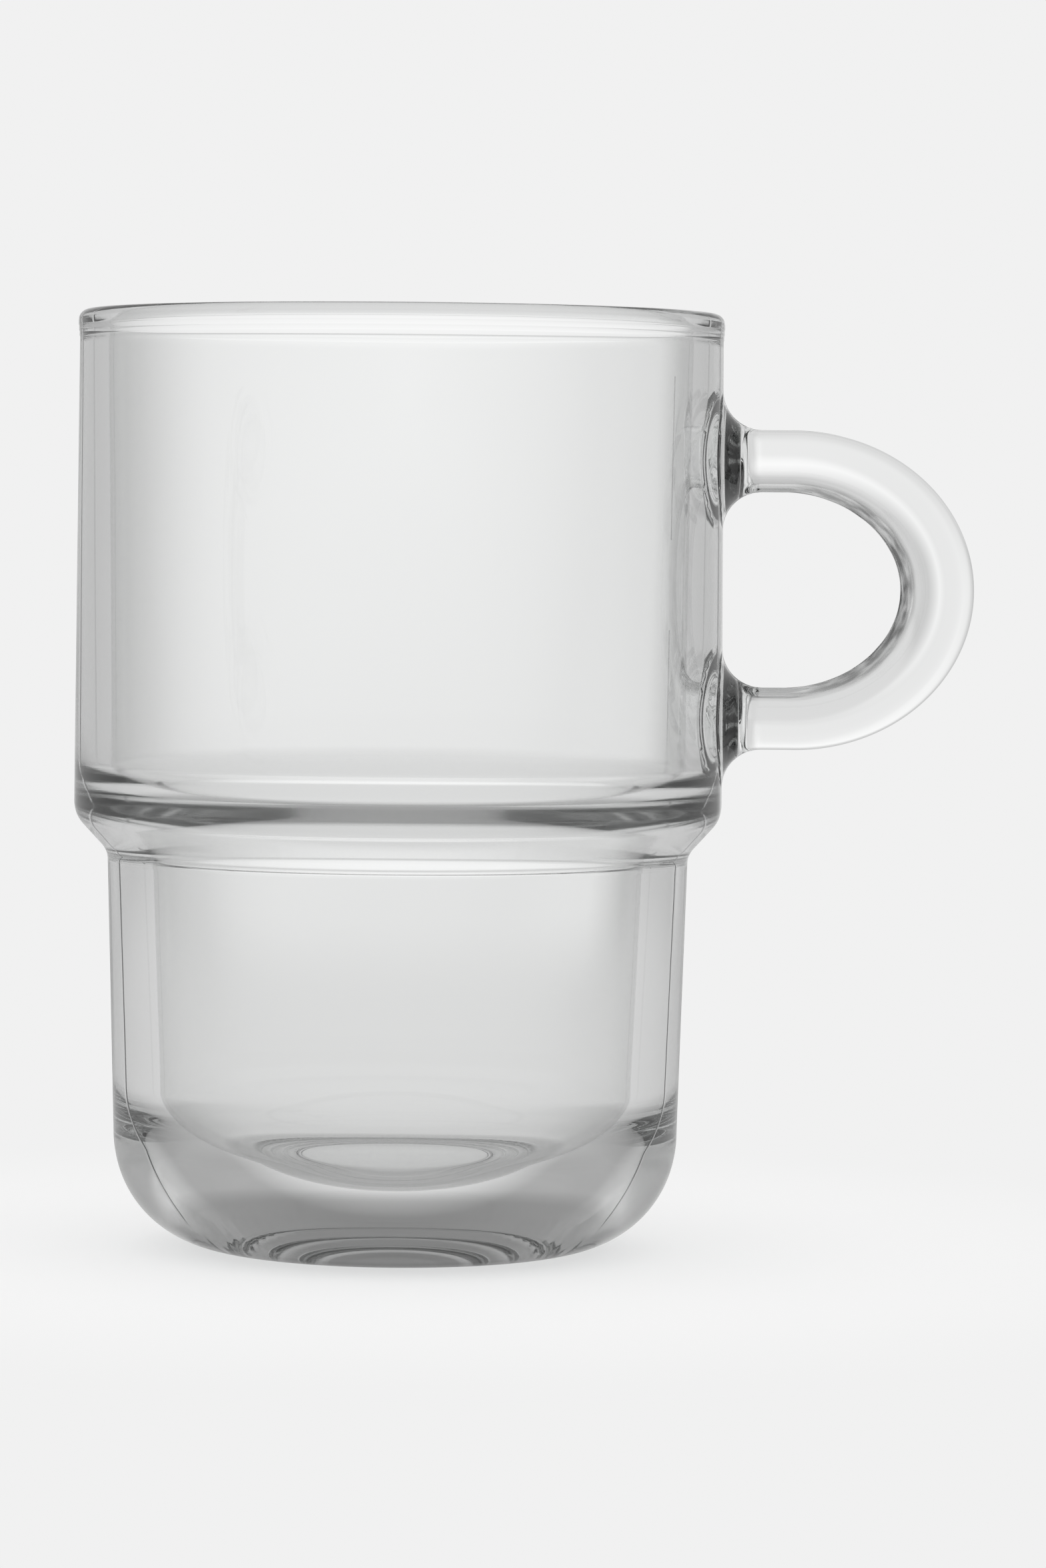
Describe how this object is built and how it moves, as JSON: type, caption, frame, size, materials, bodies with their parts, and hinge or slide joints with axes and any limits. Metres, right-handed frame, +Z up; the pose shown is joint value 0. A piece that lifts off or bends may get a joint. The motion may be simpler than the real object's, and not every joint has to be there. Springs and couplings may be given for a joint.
{
  "type": "glass mug",
  "caption": "Clear stackable coffee glass with a stepped body, a thick rounded base and a D-shaped handle.",
  "frame": {"origin": "on the bowl's axis at the resting plane of the base", "axes": "+Z up along the bowl's axis, +X towards the handle, X-Z is the plane of symmetry"},
  "size_m": [0.0975, 0.0702, 0.1015],
  "materials": {
    "body_glass": "clear pressed soda-lime glass, fire-polished",
    "handle_glass": "clear pressed soda-lime glass, fire-polished"
  },
  "bodies": {
    "root": {"glass_body": "body_glass", "handle": "handle_glass"}
  },
  "joints": []
}
